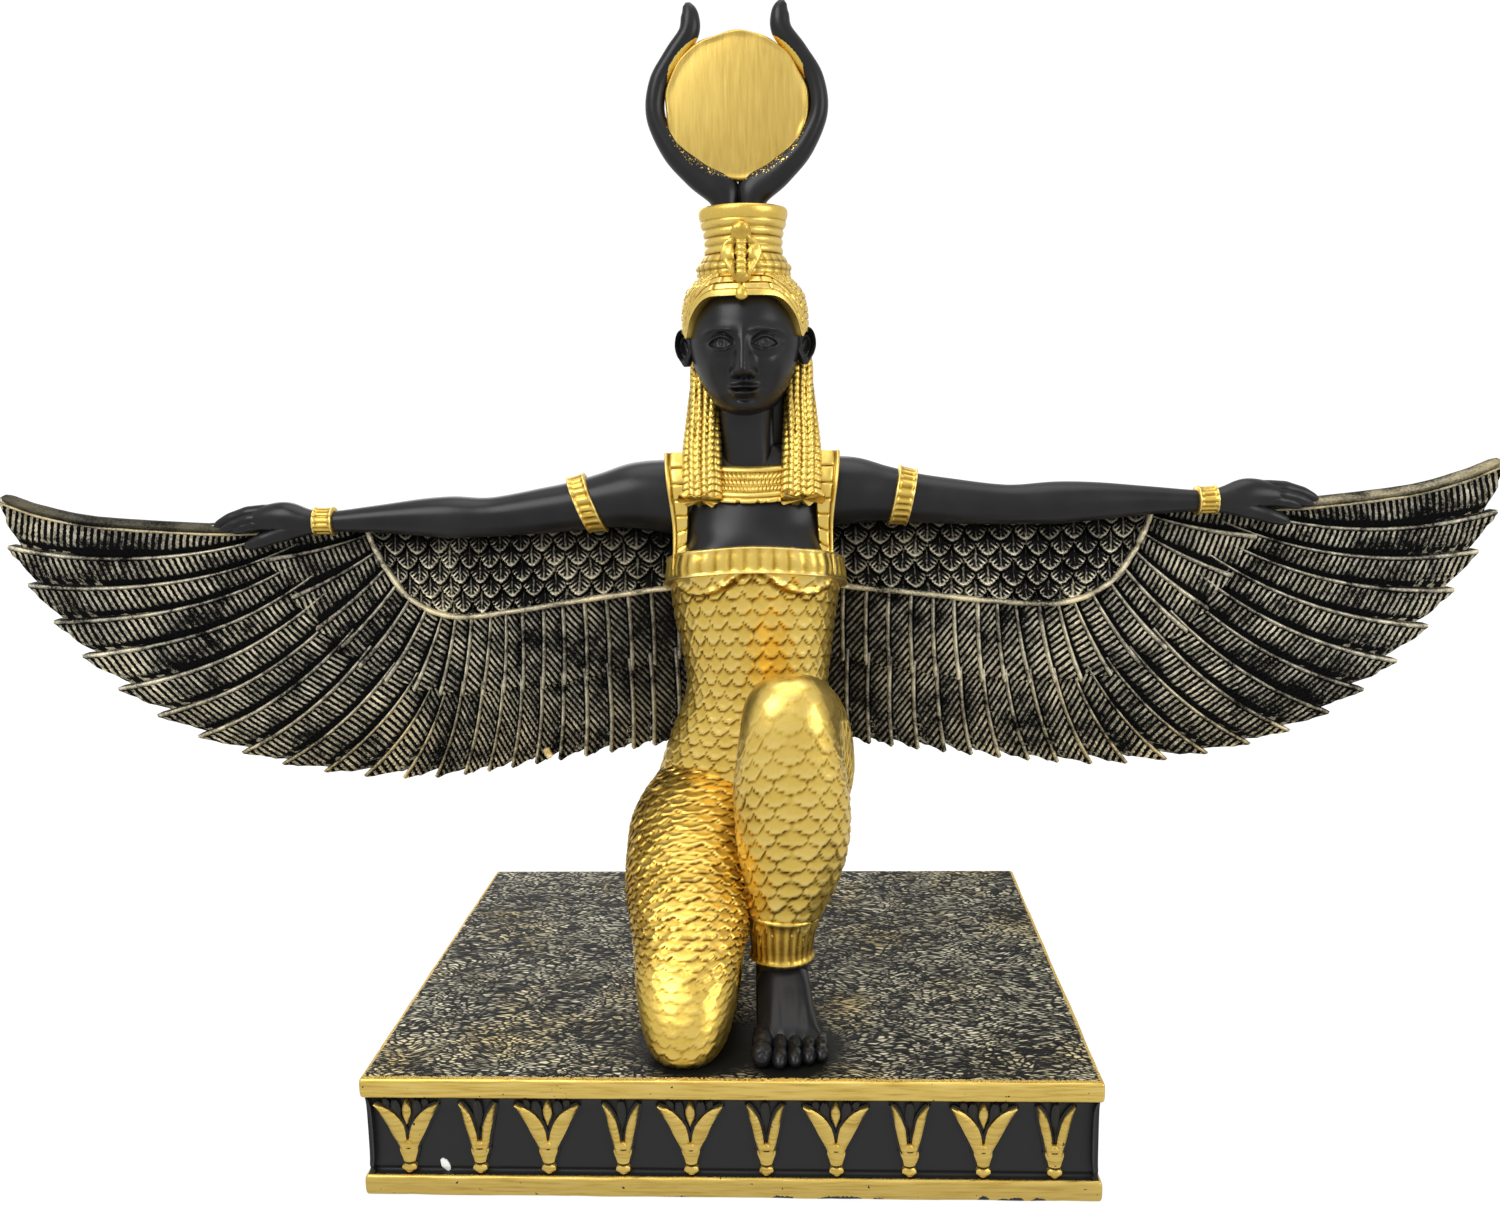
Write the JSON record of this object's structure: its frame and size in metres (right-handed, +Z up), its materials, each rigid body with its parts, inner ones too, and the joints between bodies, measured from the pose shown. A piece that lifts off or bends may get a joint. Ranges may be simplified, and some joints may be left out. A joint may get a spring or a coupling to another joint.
{
  "type": "winged goddess statuette",
  "caption": "Kneeling winged goddess statuette in black and gold, with horned disc crown, outspread feathered wings and a lotus-frieze plinth.",
  "frame": {"origin": "middle of the plinth's flat underside", "axes": "+Z up, the figure faces -Y, the wings spread along X, +X to the viewer's right"},
  "size_m": [0.296, 0.1, 0.208],
  "materials": {
    "plinth_paint": "cast resin painted satin black, with gold plates and gold lotus flowers",
    "figure_paint": "cast resin painted satin black, with gold dry-brushed over the raised carving"
  },
  "bodies": {
    "root": {"plinth": "plinth_paint", "winged_figure": "figure_paint"}
  },
  "joints": []
}
